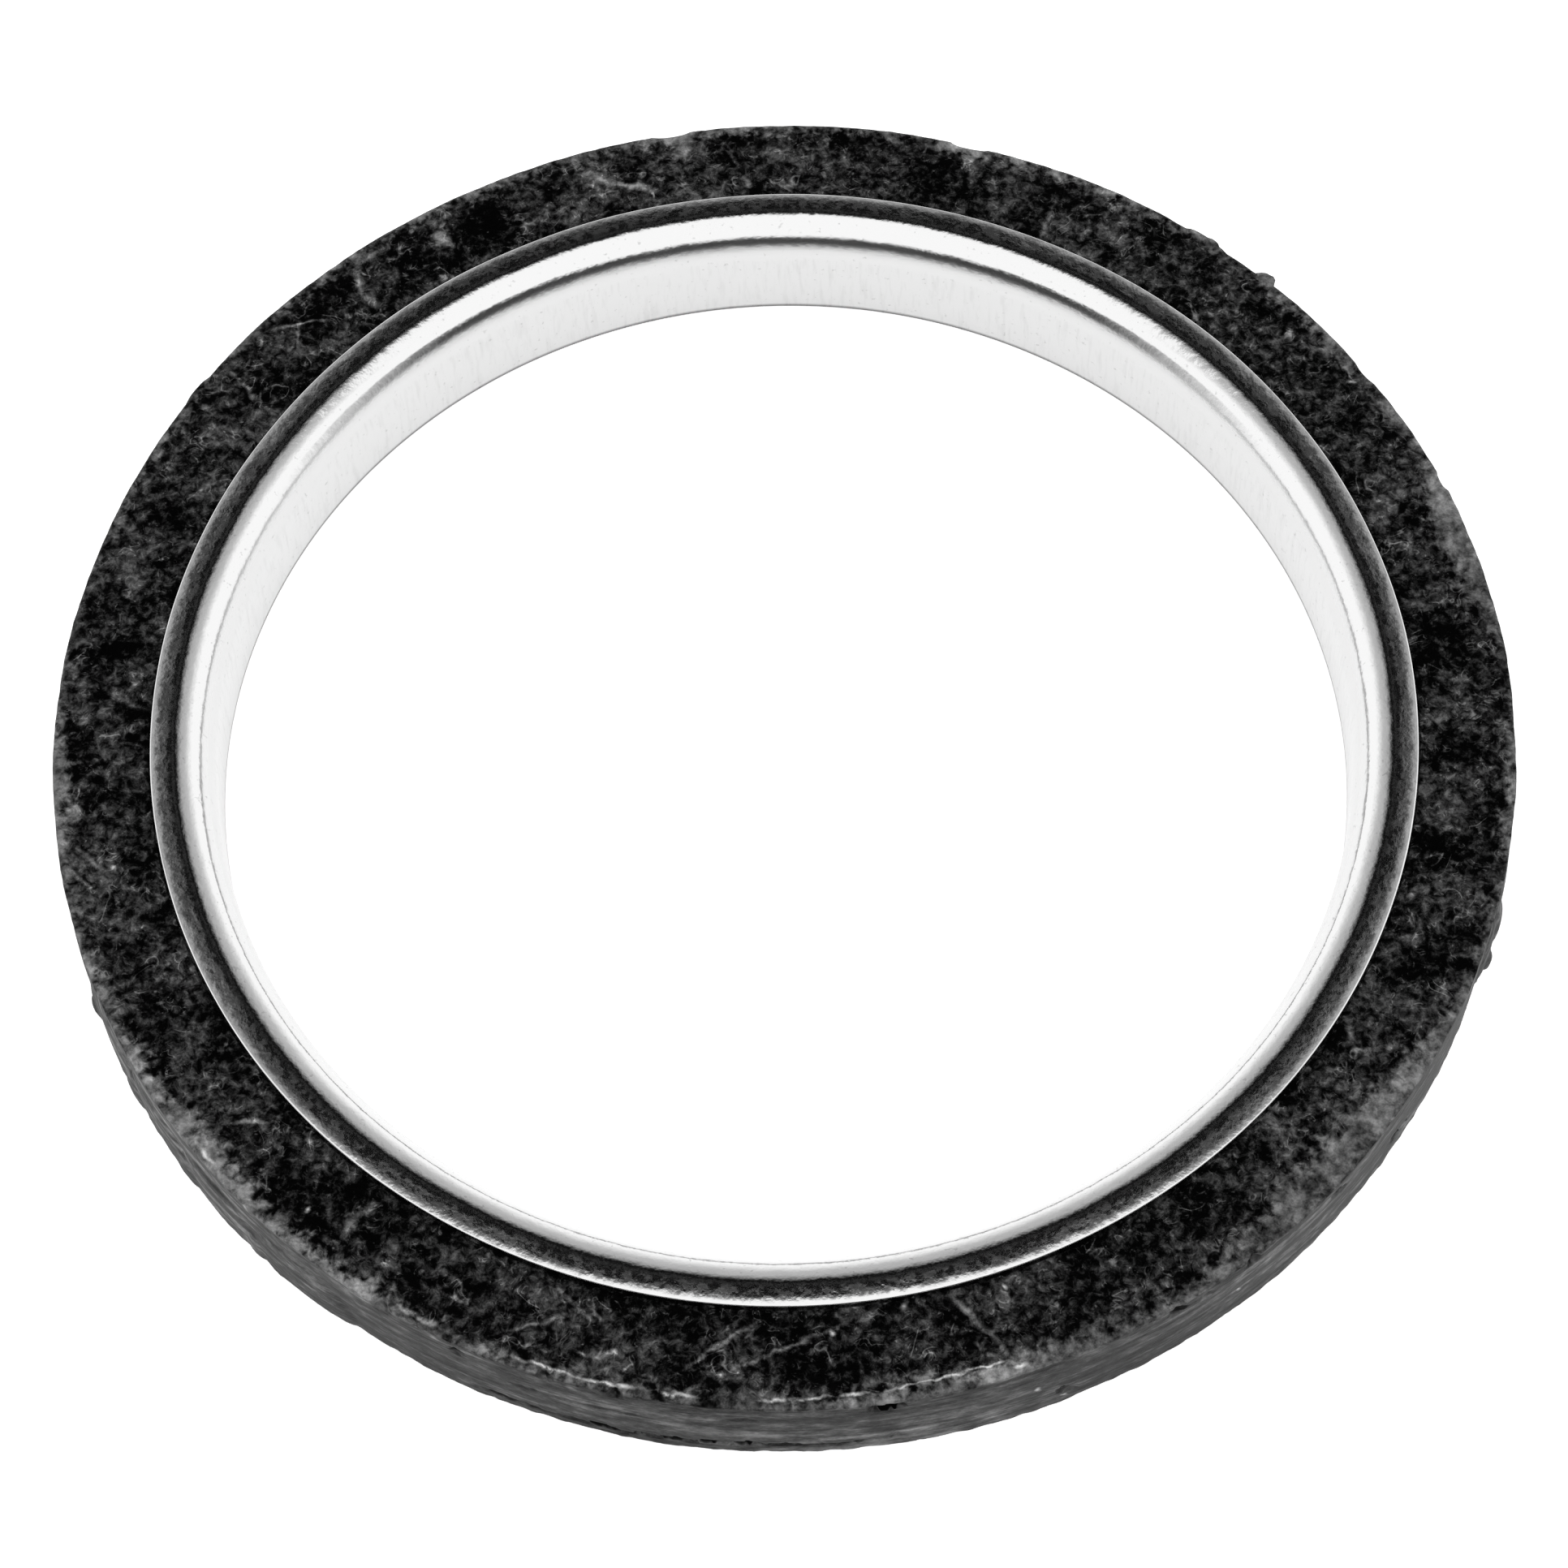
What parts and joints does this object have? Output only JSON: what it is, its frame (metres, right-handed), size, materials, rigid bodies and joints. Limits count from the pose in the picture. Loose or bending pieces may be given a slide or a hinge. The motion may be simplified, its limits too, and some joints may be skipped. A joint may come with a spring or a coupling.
{
  "type": "exhaust gasket",
  "caption": "Flat ring gasket for an exhaust pipe joint: a pressed graphite ring on a thin flanged steel liner that forms its bore.",
  "frame": {"origin": "centre of the underside, on the bore axis", "axes": "+Z along the bore axis, towards the side with the liner's flange; X and Y lie in the plane of the ring"},
  "size_m": [0.065, 0.065, 0.0058],
  "materials": {
    "steel_liner": "bright drawn stainless sheet, finely scuffed on the flange",
    "graphite_ring": "pressed expanded graphite foil, dull mottled black with grey worn edges"
  },
  "bodies": {
    "root": {"steel_liner": "steel_liner", "graphite_ring": "graphite_ring"}
  },
  "joints": []
}
